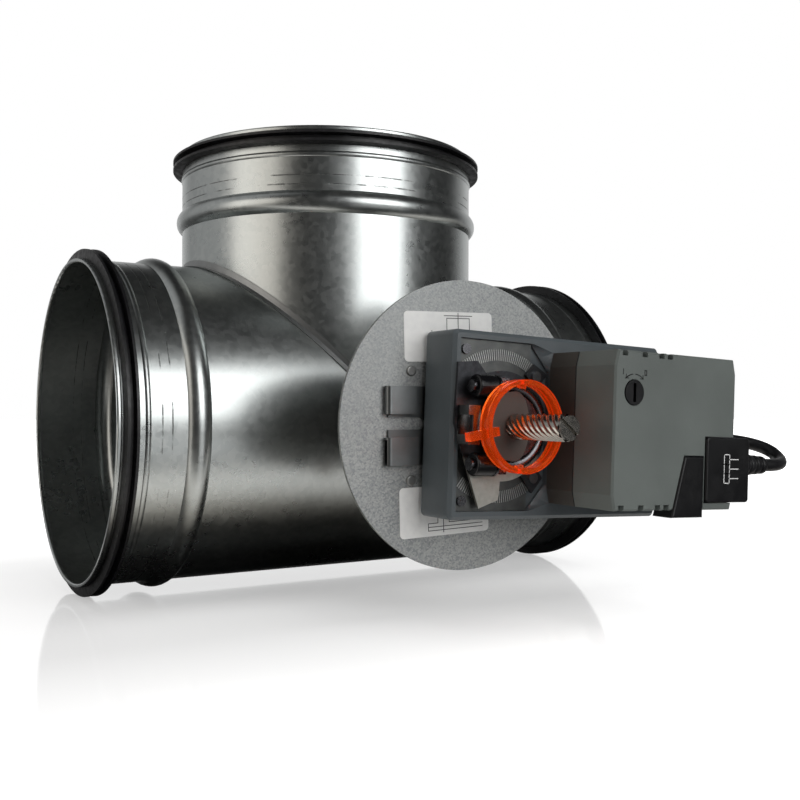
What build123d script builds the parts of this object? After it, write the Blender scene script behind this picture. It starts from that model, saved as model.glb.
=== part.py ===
from build123d import *
from math import acos, cos, pi, radians, sin, tan
import os

# Bypass damper: an equal tee of round sheet duct with a turning blade in its middle and a
# leaning electric actuator on a round stand-off plate.
# Frame: X runs along the straight duct from the inlet to the outlet, Y points away from the
# actuator, Z points up the branch. The origin is on the duct's axis, in the middle of the
# inlet's first sealing lip. "Depth" means a distance towards the actuator, along -Y.

os.makedirs("parts", exist_ok=True)

# Sheet duct, nominal bore of the mating duct 160
duct_radius = 80.0
sheet = 0.8
inlet_reach = 141.0
outlet_reach = 149.0
branch_reach = 145.0

# Rolled mouth, pressed rib and stop bead, measured in from a mouth
rim_width = 2.4
rim_thickness = 2.0
rim_proud = 0.4
rib_start = 12.4
rib_width = 2.6
rib_height = 0.5
bead_start = 31.5
bead_width = 11.0
bead_height = 3.0

# Rubber sealing ring with two lips
seal_start = 3.0
seal_length = 6.0
seal_base = 1.2
lip_height = 5.0
lip_land = 1.2
lip_pitch = 4.0

# Seam band over the mitre between the two tubes
band_width = 4.6
band_thickness = 0.7

# Shaft, bearings and blade
shaft_radius = 5.0
running_clearance = 0.05
shaft_tip_depth = 206.0
shaft_rear = 90.0
tip_slot_width = 1.4
tip_slot_depth = 2.0
wall_hole_radius = 9.0
bush_flange_radius = 13.0
bush_length = 5.0
blade_play = 0.8
blade_sheet = 1.0
seal_sheet = 1.0
seal_play = 0.3
blade_rest = 11.0
bolt_pitch = 45.0
bolt_radius = 2.4
bolt_head_radius = 4.4
bolt_head_height = 3.2
fit_gap = 0.1
rest_gap = 0.3

# Stand-off and round mounting plate
plate_radius = 64.8
plate_sheet = 1.5
plate_front = 137.0
neck_radius = 22.0
neck_wall = 1.5
flange_radius = 44.0
bearing_length = 12.0
rivet_span_x = 60.0
rivet_span_z = 47.4
rivet_radius = 1.5
rivet_head_radius = 2.3
rivet_head_height = 1.1

# Labels on the plate
label_width = 47.0
label_height = 22.0
label_sheet = 0.25
label_corner = 2.0
label_tilt = 1.5
upper_label_x = -10.0
upper_label_z = 39.2
lower_label_x = -12.0
lower_label_z = -37.4

# Anti-rotation bracket, a hemmed strip on the plate behind the housing
bracket_left = -44.0
bracket_right = -16.0
bracket_half = 17.0
bracket_sheet = 1.2
hem_inner = 0.9
hem_top_right = -29.5
hem_low_right = -28.5
hem_low_taper = 5.0
hem_inset = 5.0
slot_width = 5.4
slot_end = -26.5
slot_rise = 1.0
bracket_rivet_x = -20.0
bracket_rivet_z = 12.0

# Actuator housing, leaning about the shaft axis
lean = 2.3
housing_back = 140.0
clamp_face = 161.0
split_depth = 178.0
cover_face = 202.0
base_left = -25.0
base_right = 94.0
base_half = 40.0
tower_left = 26.9
tower_right = 99.6
tower_half = 33.2
tower_bevel_u = 1.6
tower_bevel_h = 6.5
tail_depth = 148.0
housing_wall = 2.5
cover_wall = 2.2
edge_bevel = 1.5
cover_bevel = 0.8
foot_u = 45.0
foot_h = 20.0
foot_radius = 5.0
chamber_roof = 155.5
hub_opening = 15.4

# Scale recess, scale plate and end stops
recess_left = -21.5
recess_half = 36.5
recess_corner_u = 17.0
recess_corner_h = 25.0
recess_depth = 3.0
scale_right = 21.0
scale_sheet = 1.2
scale_hole = 18.0
tick_inner = 28.0
tick_outer = 33.0
tick_width = 0.5
tick_height = 0.4
tick_step = 2.0
tick_half_count = 19
scale_screw_u = -18.0
scale_screw_h = 32.0
scale_screw_radius = 2.2
stop_angle = 50.0
stop_inner = 24.5
stop_outer = 34.0
stop_width = 8.5
stop_sheet = 1.5
stop_screw_at = 28.8
stop_screw_radius = 2.4
small_shank = 1.2
screw_head_height = 1.1

# Output hub and universal shaft clamp
hub_radius = 13.0
hub_neck_radius = 9.0
hub_journal_wall = 3.0
hub_shoulder = 156.0
hub_top = 164.8
wing_back = 161.8
wing_sheet = 1.2
wing_disc_radius = 23.6
wing_left = -25.0
wing_heel = 0.6
wing_upper_left = -24.0
wing_upper = 26.0
wing_upper_right = -14.0
wing_upper_tip = 27.0
wing_waist_left = -6.0
wing_waist = 18.0
wing_lower_right = -0.4
wing_lower = -22.0
wing_edge_right = -1.1
wing_edge = -31.4
wing_tip_left = -11.3
wing_tip = -35.0
u_bolt_depth = 168.0
u_bolt_radius = 2.6
u_bolt_half = 16.2
u_bolt_left = -20.8
nut_radius = 4.9
nut_left = -19.0
nut_right = -9.0
washer_radius = 4.95
washer_sheet = 1.0
jaw_left = -8.0
jaw_half = 20.2
clip_left = -23.6
clip_right = -17.6
clip_half = 8.1
clip_sheet = 0.8
cap_radius = 14.7
cap_right = 7.4
cap_sheet = 1.0
cap_lift = 0.2
ring_radius = 19.6
ring_wall = 2.0
ring_rim = 1.6
ring_groove = 0.6
ring_back = 173.2
ring_front = 179.4
ring_foot = 3.2
ring_foot_angle = 82.0
pointer_outer = 27.0
pointer_inner = 12.0
pointer_width = 3.6
pointer_depth = 3.4

# Gear train: module and tooth counts
hub_module = 0.9
hub_teeth = 42
pinion_teeth = 14
wheel_module = 0.6
wheel_teeth = 44
motor_teeth = 14
gear_play = 0.12
hub_gear_back = 144.5
hub_gear_width = 5.0
wheel_back = 150.6
wheel_width = 2.8
axle_radius = 2.0
motor_radius = 10.0
motor_back = 158.0
motor_shaft_radius = 1.0
board_back = 180.8
board_sheet = 1.6
capacitor_radius = 5.0
capacitor_height = 9.0
capacitor_u = (44.0, 57.0, 50.0)
capacitor_h = (-17.0, -17.0, 20.0)
relay_u = 68.0
relay_h = 12.0
relay_width = 12.0
relay_length = 16.0
relay_height = 5.0

# Controls and connection
switch_u = 37.6
switch_h = 15.8
switch_radius = 5.2
switch_collar = 6.2
switch_proud = 0.4
switch_slot = 1.6
button_right = 80.0
button_top_left = 68.3
button_low_left = 61.0
button_top = -10.0
button_low = -36.4
button_proud = 0.6
button_height = 11.0
button_travel = 3.0
spring_radius = 3.0
spring_wire = 0.35
spring_turns = 4
window_u = (32.0, 43.2, 53.0, 58.0)
window_width = 3.2
window_reach = 2.4
window_depth = 2.6
box_left = 81.0
box_right = 108.5
box_top = -1.5
box_low = -30.0
box_back = 183.0
box_front = 203.2
box_wall = 1.5
box_corner = 1.6
housing_screw_left = 34.0
housing_screw_right = 83.0
housing_screw_h = 34.4
housing_screw_radius = 1.5
housing_screw_head = 2.9
housing_screw_length = 12.0

# Lead: three-core cable of 6 mm
lead_radius = 3.0
lead_h = -13.6
lead_depth = 192.0
boot_length = 23.0
boot_base_radius = 5.4
boot_tip_radius = 3.9
coil_front = 127.0
coil_turns = 5
coil_pitch = 6.3
stub_length = 30.0
stub_inset = 0.4
tail_length = 30.0
core_radius = 0.9
core_length = 14.0
tie_sheet = 1.0
tie_width = 4.0
tie_turn = 200

# Places that follow from the sizes above
seal_mid = seal_start + seal_length / 2
front_lip = seal_mid - lip_pitch / 2
tee_x = inlet_reach - front_lip
inner_radius = duct_radius - sheet
plate_back = plate_front - plate_sheet
shaft_bore = shaft_radius + running_clearance
bush_inner = inner_radius + 0.1
bush_outer = duct_radius + bush_length
shaft_flat = -(blade_sheet + seal_sheet / 2)
recess_floor = clamp_face - recess_depth
scale_front = recess_floor + scale_sheet
stop_back = scale_front + tick_height
stop_front = stop_back + stop_sheet
gear_distance = hub_module * (hub_teeth + pinion_teeth) / 2
motor_u = gear_distance + wheel_module * (wheel_teeth + motor_teeth) / 2
button_front = cover_face + button_proud
button_back = button_front - button_height

towards_viewer = Axis((0, 0, 0), (0, -1, 0))
run_axis = Axis((0, 0, 0), (1, 0, 0))
branch_axis = Axis((tee_x, 0, 0), (0, 0, 1))
inlet_mouth = Plane((-front_lip, 0, 0), x_dir=(1, 0, 0), z_dir=(0, -1, 0))
outlet_mouth = Plane((tee_x + outlet_reach, 0, 0), x_dir=(-1, 0, 0), z_dir=(0, 1, 0))
branch_mouth = Plane((tee_x, 0, branch_reach), x_dir=(0, 0, -1), z_dir=(0, -1, 0))
mouths = ((inlet_mouth, run_axis), (outlet_mouth, run_axis), (branch_mouth, branch_axis))
blade_dir = (cos(radians(blade_rest)), 0, sin(radians(blade_rest)))
blade_normal = (-sin(radians(blade_rest)), 0, cos(radians(blade_rest)))
blade_plane = Plane((tee_x, 0, 0), x_dir=blade_dir, z_dir=blade_normal)


def facing(depth):
    """Upright plane in front of the duct's axis, seen from the actuator's side."""
    return Plane((tee_x, -depth, 0), x_dir=(1, 0, 0), z_dir=(0, -1, 0))


def leaning(depth):
    """The same plane turned with the actuator: its x is u, its y is h."""
    turn = radians(lean)
    return Plane((tee_x, -depth, 0), x_dir=(cos(turn), 0, -sin(turn)), z_dir=(0, -1, 0))


def disc(plane, radius, length, mode=Mode.ADD, at=((0, 0),)):
    """Round solids that start on a plane, one at each place."""
    with BuildSketch(plane) as rounds:
        with Locations(*at):
            Circle(radius)
    extrude(rounds.sketch, amount=length, mode=mode)


def block(plane, left, right, low, high, length, mode=Mode.ADD):
    """A box that starts on a plane, between two pairs of edges."""
    with BuildSketch(plane) as outline:
        with Locations(((left + right) / 2, (low + high) / 2)):
            Rectangle(right - left, high - low)
    extrude(outline.sketch, amount=length, mode=mode)


def spigot_wall(reach):
    """Half section of a sheet tube from its mouth to the middle of the tee."""
    with Locations((reach / 2, duct_radius - sheet / 2)):
        Rectangle(reach, sheet)
    with Locations((rim_width / 2, duct_radius + rim_proud - rim_thickness / 2)):
        RectangleRounded(rim_width, rim_thickness, rim_thickness * 0.4)
    swell(rib_start, rib_width, duct_radius, rib_height, Mode.ADD)
    swell(bead_start, bead_width, duct_radius, bead_height, Mode.ADD)
    swell(bead_start + sheet, bead_width - 2 * sheet, inner_radius, bead_height, Mode.SUBTRACT)


def swell(start, width, base, height, mode):
    """Round swelling of a tube's wall in section."""
    with BuildLine() as outline:
        ThreePointArc((start, base), (start + width / 2, base + height), (start + width, base))
        Line((start + width, base), (start, base))
    make_face(outline.edges(), mode=mode)


def branch_wedge(mode):
    """The space above the two mitre planes."""
    side = 2 * branch_reach
    with BuildSketch(facing(0)) as wedge:
        Polygon((0, 0), (side, side), (-side, side), align=None)
    extrude(wedge.sketch, amount=duct_radius + bead_height + 1, both=True, mode=mode)


def wall_holes():
    """Holes for the two shaft bushes, through the front and rear walls."""
    with BuildSketch(facing(0)) as hole:
        Circle(wall_hole_radius)
    extrude(hole.sketch, amount=duct_radius + 1, both=True, mode=Mode.SUBTRACT)


def tee_solid(radius, mode):
    """The tee as two crossing round bars of one radius."""
    with Locations((tee_x, 0, 0)):
        Cylinder(radius, 2 * inlet_reach, rotation=(0, 90, 0), mode=mode)
        Cylinder(radius, branch_reach, align=(Align.CENTER, Align.CENTER, Align.MIN), mode=mode)


def finish(piece, name):
    """Label a finished piece and write its file."""
    piece.part.label = name
    export_step(piece.part, f"parts/{name}.step")


# The two tubes of the tee, mitred edge to edge
with BuildPart() as run_duct:
    for mouth, reach in ((inlet_mouth, inlet_reach), (outlet_mouth, outlet_reach)):
        with BuildSketch(mouth):
            spigot_wall(reach)
        revolve(axis=run_axis)
    branch_wedge(Mode.SUBTRACT)
    wall_holes()
finish(run_duct, "run_duct")

with BuildPart() as branch_duct:
    with BuildSketch(branch_mouth):
        spigot_wall(branch_reach)
    revolve(axis=branch_axis)
    branch_wedge(Mode.INTERSECT)
    wall_holes()
finish(branch_duct, "branch_duct")

# Narrow band that covers the seam, open where the stand-off stands
with BuildPart() as saddle_band:
    tee_solid(duct_radius + band_thickness, Mode.ADD)
    tee_solid(duct_radius, Mode.SUBTRACT)
    with BuildSketch(facing(0)):
        for turn in (45, 135):
            with Locations(Location((0, 0, 0), (0, 0, turn))):
                Rectangle(2 * duct_radius, band_width, align=(Align.MIN, Align.CENTER))
    extrude(amount=duct_radius + 2, both=True, mode=Mode.INTERSECT)
    with BuildSketch(facing(0)):
        Circle(neck_radius + rest_gap)
    extrude(amount=duct_radius + 2, both=True, mode=Mode.SUBTRACT)
    # On a short spigot the band ends below the stop bead
    bead_end = bead_start + bead_width + fit_gap
    for mouth, axis in mouths:
        with BuildSketch(mouth):
            with Locations((bead_end / 2, duct_radius)):
                Rectangle(bead_end, 4 * bead_height)
        revolve(axis=axis, mode=Mode.SUBTRACT)
finish(saddle_band, "saddle_band")


# Rubber ring on each mouth
def seal_section():
    """Base strip and two leaning lips with narrow lands."""
    tip = duct_radius + lip_height
    with Locations((seal_mid, duct_radius + seal_base / 2)):
        Rectangle(seal_length, seal_base)
    for shift in (-lip_pitch / 2, lip_pitch / 2):
        foot = seal_mid + shift
        Polygon(
            (foot - lip_land, duct_radius + seal_base / 2),
            (foot - lip_land / 2, tip),
            (foot + lip_land / 2, tip),
            (foot + lip_land, duct_radius + seal_base / 2),
            align=None,
        )


for seal_name, (mouth, axis) in zip(("inlet_seal", "outlet_seal", "branch_seal"), mouths):
    with BuildPart() as mouth_seal:
        with BuildSketch(mouth):
            seal_section()
        revolve(axis=axis)
    finish(mouth_seal, seal_name)

# Stand-off neck with a saddle end and a flange, and the round plate on it
with BuildPart() as stand_off:
    disc(facing(0), neck_radius, plate_back)
    disc(facing(plate_back - plate_sheet), flange_radius, plate_sheet)
    disc(facing(0), neck_radius - neck_wall, plate_back, Mode.SUBTRACT)
    tee_solid(duct_radius, Mode.SUBTRACT)
    with BuildSketch(facing(plate_back)):
        with GridLocations(rivet_span_x, rivet_span_z, 2, 2):
            Circle(rivet_radius + running_clearance)
    extrude(amount=-plate_sheet, mode=Mode.SUBTRACT)
finish(stand_off, "stand_off")

with BuildPart() as mounting_plate:
    disc(facing(plate_back), plate_radius, plate_sheet)
    with BuildSketch(facing(plate_back)):
        Circle(wall_hole_radius)
        with GridLocations(rivet_span_x, rivet_span_z, 2, 2):
            Circle(rivet_radius + running_clearance)
        with GridLocations(0, 2 * bracket_rivet_z, 1, 2):
            with Locations((bracket_rivet_x, 0)):
                Circle(rivet_radius + running_clearance)
    extrude(amount=plate_sheet, mode=Mode.SUBTRACT)
finish(mounting_plate, "mounting_plate")

with BuildPart() as plate_rivets:
    with BuildSketch(facing(plate_back - plate_sheet)):
        with GridLocations(rivet_span_x, rivet_span_z, 2, 2):
            Circle(rivet_radius)
    extrude(amount=2 * plate_sheet)
    for head_plane, height in (
        (facing(plate_front), rivet_head_height),
        (facing(plate_back - plate_sheet), -rivet_head_height),
    ):
        with BuildSketch(head_plane):
            with GridLocations(rivet_span_x, rivet_span_z, 2, 2):
                Circle(rivet_head_radius)
        extrude(amount=height)
    fillet(plate_rivets.faces().sort_by(towards_viewer)[-4:].edges(), rivet_head_height * 0.5)
finish(plate_rivets, "plate_rivets")

# Bearing in the neck's mouth, with a nose through the plate
with BuildPart() as front_bearing:
    disc(facing(plate_back - bearing_length), neck_radius - neck_wall - fit_gap, bearing_length)
    disc(facing(plate_back), wall_hole_radius - fit_gap, plate_sheet + 0.8)
    disc(facing(0), shaft_bore, plate_front + 10, Mode.SUBTRACT)
finish(front_bearing, "front_bearing")

# Flanged bushes in the duct's wall, front and rear
for bush_name, side in (("front_wall_bush", 1), ("rear_wall_bush", -1)):
    with BuildPart() as wall_bush:
        disc(facing(side * inner_radius / 2), bush_flange_radius, side * (bush_outer - inner_radius / 2))
        tee_solid(duct_radius, Mode.SUBTRACT)
        body_length = bush_outer - bush_inner
        disc(facing(side * bush_inner), wall_hole_radius - fit_gap, side * body_length)
        disc(facing(side * inner_radius / 2), shaft_bore, side * bush_outer, Mode.SUBTRACT)
    finish(wall_bush, bush_name)

# Shaft with a flat for the blade and a slot across its tip
with BuildPart() as shaft:
    disc(facing(-shaft_rear), shaft_radius, shaft_rear + shaft_tip_depth)
    with BuildSketch(blade_plane.offset(shaft_flat)):
        Rectangle(3 * shaft_radius, 2 * (inner_radius - fit_gap))
    extrude(amount=2 * shaft_radius, mode=Mode.SUBTRACT)
    with BuildSketch(blade_plane.offset(shaft_flat)):
        with GridLocations(0, bolt_pitch, 1, 3):
            Circle(bolt_radius + running_clearance)
    extrude(amount=-2 * shaft_radius, mode=Mode.SUBTRACT)
    with BuildSketch(facing(shaft_tip_depth)):
        Rectangle(3 * shaft_radius, tip_slot_width, rotation=-40)
    extrude(amount=-tip_slot_depth, mode=Mode.SUBTRACT)
    chamfer(shaft.edges().filter_by(GeomType.CIRCLE).sort_by(Axis.Y)[-1], 0.8)
finish(shaft, "shaft")

with BuildPart() as retaining_ring:
    disc(facing(-bush_outer - rest_gap), shaft_radius + 3, -1.0)
    disc(facing(-bush_outer - rest_gap), shaft_radius, -1.0, Mode.SUBTRACT)
    block(facing(-bush_outer - rest_gap), -1.5, 1.5, 0, shaft_radius + 4, -1.0, Mode.SUBTRACT)
finish(retaining_ring, "retaining_ring")


# Blade: two sheets with a rubber sheet between them, cut to the mitre's ellipse
def blade_layer(low, thickness, play):
    """One layer of the blade, trimmed by the tube as it meets it at both limits."""
    span = 2 * duct_radius
    with BuildSketch(blade_plane.offset(low)) as sheet_outline:
        Rectangle(2 * span, span)
    extrude(sheet_outline.sketch, amount=thickness)
    with Locations(blade_plane):
        for turn in (-45, 45):
            Cylinder(inner_radius - play, 3 * span, rotation=(0, turn, 0), mode=Mode.INTERSECT)
    with BuildSketch(blade_plane.offset(low)) as bolt_holes:
        with GridLocations(0, bolt_pitch, 1, 3):
            Circle(bolt_radius + running_clearance)
    extrude(bolt_holes.sketch, amount=thickness, mode=Mode.SUBTRACT)


blade_layers = (
    ("blade_lower_plate", shaft_flat, blade_sheet, blade_play),
    ("blade_seal", shaft_flat + blade_sheet, seal_sheet, seal_play),
    ("blade_upper_plate", shaft_flat + blade_sheet + seal_sheet, blade_sheet, blade_play),
)
for layer_name, low, thickness, play in blade_layers:
    with BuildPart() as layer:
        blade_layer(low, thickness, play)
    finish(layer, layer_name)

with BuildPart() as blade_bolts:
    with BuildSketch(blade_plane.offset(-shaft_flat)):
        with GridLocations(0, bolt_pitch, 1, 3):
            RegularPolygon(bolt_head_radius, 6)
    extrude(amount=bolt_head_height)
    with BuildSketch(blade_plane.offset(-shaft_flat)):
        with GridLocations(0, bolt_pitch, 1, 3):
            Circle(bolt_radius)
    extrude(amount=shaft_flat - shaft_radius * 0.8)
finish(blade_bolts, "blade_bolts")

# Labels on the plate, bare white film
label_places = (
    ("upper_label", upper_label_x, upper_label_z),
    ("lower_label", lower_label_x, lower_label_z),
)
for label_name, label_x, label_z in label_places:
    with BuildPart() as film:
        with BuildSketch(facing(plate_front)):
            with Locations(Location((label_x, label_z, 0), (0, 0, label_tilt))):
                RectangleRounded(label_width, label_height, label_corner)
        extrude(amount=label_sheet)
    finish(film, label_name)

# Anti-rotation bracket: flat strip, round bends at its left edge and two hems folded back
hem_radius = hem_inner + bracket_sheet
bend_x = tee_x + bracket_left + hem_radius
bend_y = -plate_front - hem_radius
with BuildPart() as anti_rotation_bracket:
    for low, hem_right in ((-bracket_half, hem_low_right), (hem_inset, hem_top_right)):
        with BuildSketch(Plane.XY.offset(low)):
            with Locations((bend_x, bend_y)):
                Circle(hem_radius)
                Circle(hem_inner, mode=Mode.SUBTRACT)
                Rectangle(
                    hem_radius,
                    2 * hem_radius,
                    align=(Align.MIN, Align.CENTER),
                    mode=Mode.SUBTRACT,
                )
            with Locations((bend_x, bend_y - hem_radius)):
                Rectangle(
                    tee_x + hem_right - bend_x,
                    bracket_sheet,
                    align=(Align.MIN, Align.MIN),
                )
        extrude(amount=bracket_half - hem_inset)
    block(
        facing(plate_front),
        bend_x - tee_x,
        bracket_right,
        -bracket_half,
        bracket_half,
        bracket_sheet,
    )
    with BuildSketch(facing(plate_front)):
        with Locations((bracket_left, slot_rise)):
            Rectangle(slot_end - bracket_left, slot_width, align=(Align.MIN, Align.CENTER))
        with Locations((slot_end, slot_rise)):
            Circle(slot_width / 2)
        with GridLocations(0, 2 * bracket_rivet_z, 1, 2):
            with Locations((bracket_rivet_x, 0)):
                Circle(rivet_radius + running_clearance)
    extrude(amount=bracket_sheet, mode=Mode.SUBTRACT)
    with BuildSketch(facing(plate_front + bracket_sheet)):
        Polygon(
            (bracket_left - 1, -bracket_half),
            (bracket_left + hem_low_taper, -bracket_half),
            (bracket_left + hem_radius, -hem_inset - 1),
            (bracket_left - 1, -hem_inset - 1),
            align=None,
        )
    extrude(amount=hem_radius, mode=Mode.SUBTRACT)
finish(anti_rotation_bracket, "anti_rotation_bracket")

with BuildPart() as bracket_rivets:
    for bottom, top, radius in (
        (plate_back, plate_front + bracket_sheet, rivet_radius),
        (plate_front + bracket_sheet, plate_front + bracket_sheet + 1, rivet_head_radius),
    ):
        with BuildSketch(facing(bottom)):
            with GridLocations(0, 2 * bracket_rivet_z, 1, 2):
                with Locations((bracket_rivet_x, 0)):
                    Circle(radius)
        extrude(amount=top - bottom)
finish(bracket_rivets, "bracket_rivets")


# Actuator housing
def tower_outline(inset):
    """Outline of the raised part of the housing, with bevelled corners."""
    left = tower_left + inset
    right = tower_right - inset
    half = tower_half - inset
    Polygon(
        (left, half - tower_bevel_h),
        (left + tower_bevel_u, half),
        (right - tower_bevel_u, half),
        (right, half - tower_bevel_h),
        (right, tower_bevel_h - half),
        (right - tower_bevel_u, -half),
        (left + tower_bevel_u, -half),
        (left, tower_bevel_h - half),
        align=None,
    )


def facet_foot(side):
    """Point just outside the middle of the recess's slanting edge."""
    u = (recess_corner_u + tower_left) / 2 + fit_gap
    h = (recess_half + recess_corner_h) / 2 + fit_gap
    return (u, side * h)


housing_screw_places = tuple(
    (u, h)
    for u in (housing_screw_left, housing_screw_right)
    for h in (-housing_screw_h, housing_screw_h)
)
with BuildPart() as actuator_base:
    base_height = clamp_face - housing_back
    with BuildSketch(leaning(housing_back)):
        with Locations(((base_left + base_right) / 2, 0)):
            RectangleRounded(base_right - base_left, 2 * base_half, 2.5)
    extrude(amount=base_height)
    chamfer(actuator_base.faces().sort_by(towards_viewer)[-1].edges(), edge_bevel)
    with BuildSketch(leaning(clamp_face)):
        Polygon(
            (recess_left, recess_half),
            (recess_corner_u, recess_half),
            (tower_left, recess_corner_h),
            (tower_left, -recess_corner_h),
            (recess_corner_u, -recess_half),
            (recess_left, -recess_half),
            align=None,
        )
    extrude(amount=-recess_depth, mode=Mode.SUBTRACT)
    for side in (-1, 1):
        outer_corner = (recess_corner_u, side * recess_half)
        inner_corner = (tower_left, side * recess_corner_h)
        tower_corner = (tower_left + tower_bevel_u, side * tower_half)
        with BuildSketch(leaning(clamp_face)) as facet_top:
            Polygon(outer_corner, inner_corner, tower_corner, align=None)
        with BuildSketch(leaning(scale_front)) as facet_low:
            Polygon(outer_corner, inner_corner, facet_foot(side), align=None)
        loft(sections=(facet_top.sketch, facet_low.sketch), mode=Mode.SUBTRACT)
    block(
        leaning(housing_back + housing_wall),
        base_left + housing_wall,
        base_right - housing_wall,
        housing_wall - base_half,
        base_half - housing_wall,
        chamber_roof - housing_back - housing_wall,
        Mode.SUBTRACT,
    )
    block(
        leaning(chamber_roof),
        tower_left + cover_wall,
        base_right - housing_wall,
        tower_bevel_h - tower_half,
        tower_half - tower_bevel_h,
        clamp_face - chamber_roof,
        Mode.SUBTRACT,
    )
    disc(leaning(housing_back), hub_opening, clamp_face - housing_back, Mode.SUBTRACT)
    disc(leaning(housing_back), hub_opening + 1, housing_wall)
    disc(leaning(housing_back), hub_neck_radius + hub_journal_wall, housing_wall, Mode.SUBTRACT)
    foot_places = ((foot_u, -foot_h), (foot_u, foot_h))
    disc(leaning(plate_front), foot_radius, housing_back - plate_front, at=foot_places)
    boss_height = chamber_roof - housing_back
    disc(leaning(housing_back), 2.2 * housing_screw_radius, boss_height, at=housing_screw_places)
    disc(
        leaning(housing_back),
        housing_screw_radius + running_clearance,
        boss_height,
        Mode.SUBTRACT,
        housing_screw_places,
    )
    scale_holes = ((scale_screw_u, -scale_screw_h), (scale_screw_u, scale_screw_h))
    stop_holes = tuple(
        (
            stop_screw_at * cos(radians(turn)),
            stop_screw_at * sin(radians(turn)),
        )
        for turn in (-stop_angle, stop_angle)
    )
    disc(
        leaning(recess_floor),
        small_shank + running_clearance,
        -housing_wall,
        Mode.SUBTRACT,
        scale_holes + stop_holes,
    )
finish(actuator_base, "actuator_base")

# Raised middle moulding on the base, round the motor, with its tail down the base's end
with BuildPart() as motor_housing:
    with BuildSketch(leaning(clamp_face)):
        tower_outline(0)
    extrude(amount=split_depth - clamp_face)
    block(
        leaning(tail_depth),
        base_right,
        tower_right,
        tower_bevel_h - tower_half,
        tower_half - tower_bevel_h,
        clamp_face - tail_depth,
    )
    with BuildSketch(leaning(clamp_face)):
        tower_outline(cover_wall)
    extrude(amount=split_depth - clamp_face, mode=Mode.SUBTRACT)
finish(motor_housing, "motor_housing")


def button_outline(gap):
    """Outline of the release button, wider by a gap all round."""
    Polygon(
        (button_top_left - gap, button_top + gap),
        (button_right + gap, button_top + gap),
        (button_right + gap, button_low),
        (button_low_left - gap, button_low),
        align=None,
    )


with BuildPart() as actuator_cover:
    with BuildSketch(leaning(split_depth)):
        tower_outline(0)
    extrude(amount=cover_face - split_depth)
    chamfer(actuator_cover.faces().sort_by(towards_viewer)[-1].edges(), cover_bevel)
    with BuildSketch(leaning(split_depth)):
        tower_outline(cover_wall)
    extrude(amount=cover_face - cover_wall - split_depth, mode=Mode.SUBTRACT)
    disc(
        leaning(split_depth),
        switch_radius + rest_gap,
        cover_face - split_depth,
        Mode.SUBTRACT,
        ((switch_u, switch_h),),
    )
    with BuildSketch(leaning(button_back - button_travel - 1)):
        button_outline(rest_gap)
    extrude(amount=button_height + button_travel + 3, mode=Mode.SUBTRACT)
    block(
        leaning(box_back - rest_gap),
        box_left - rest_gap,
        tower_right + 1,
        box_low - rest_gap,
        box_top + rest_gap,
        cover_face - box_back + 1,
        Mode.SUBTRACT,
    )
    for side in (-1, 1):
        with BuildSketch(leaning(cover_face)):
            with Locations(*((u, side * tower_half) for u in window_u)):
                Rectangle(window_width, 2 * window_reach)
        extrude(amount=-window_depth, mode=Mode.SUBTRACT)
finish(actuator_cover, "actuator_cover")

with BuildPart() as housing_screws:
    disc(leaning(housing_back), housing_screw_head, -screw_head_height, at=housing_screw_places)
    disc(leaning(housing_back), housing_screw_radius, housing_screw_length, at=housing_screw_places)
finish(housing_screws, "housing_screws")

# Scale plate with raised ticks, its screws and the two end stops
with BuildPart() as scale_plate:
    block(
        leaning(recess_floor),
        recess_left + fit_gap,
        recess_corner_u - fit_gap,
        fit_gap - recess_half,
        recess_half - fit_gap,
        scale_sheet,
    )
    block(
        leaning(recess_floor),
        0,
        scale_right,
        -recess_corner_h,
        recess_corner_h,
        scale_sheet,
    )
    with BuildSketch(leaning(scale_front)):
        for middle in (90, 270):
            for count in range(-tick_half_count, tick_half_count + 1):
                turn = middle + count * tick_step
                with Locations(Location((0, 0, 0), (0, 0, turn))):
                    with Locations(((tick_inner + tick_outer) / 2, 0)):
                        Rectangle(tick_outer - tick_inner, tick_width)
    extrude(amount=tick_height)
    disc(leaning(recess_floor), scale_hole, 5, Mode.SUBTRACT)
    disc(
        leaning(recess_floor),
        small_shank + running_clearance,
        5,
        Mode.SUBTRACT,
        scale_holes + stop_holes,
    )
finish(scale_plate, "scale_plate")

with BuildPart() as scale_screws:
    disc(leaning(scale_front), scale_screw_radius, screw_head_height, at=scale_holes)
    disc(leaning(scale_front), small_shank, -scale_sheet - 2, at=scale_holes)
finish(scale_screws, "scale_screws")

for stop_name, turn in (("upper_end_stop", stop_angle), ("lower_end_stop", -stop_angle)):
    with BuildPart() as end_stop:
        with BuildSketch(leaning(stop_back)):
            with Locations(Location((0, 0, 0), (0, 0, turn))):
                with Locations(((stop_inner + stop_outer) / 2, 0)):
                    Trapezoid(stop_outer - stop_inner, stop_width, 80)
                with Locations((stop_screw_at, 0)):
                    Circle(small_shank + running_clearance, mode=Mode.SUBTRACT)
        extrude(amount=stop_sheet)
    finish(end_stop, stop_name)

with BuildPart() as end_stop_screws:
    disc(leaning(stop_front), stop_screw_radius, screw_head_height, at=stop_holes)
    disc(leaning(stop_front), small_shank, recess_floor - 2 - stop_front, at=stop_holes)
finish(end_stop_screws, "end_stop_screws")


# Involute gears
def involute(angle):
    return tan(angle) - angle


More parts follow.
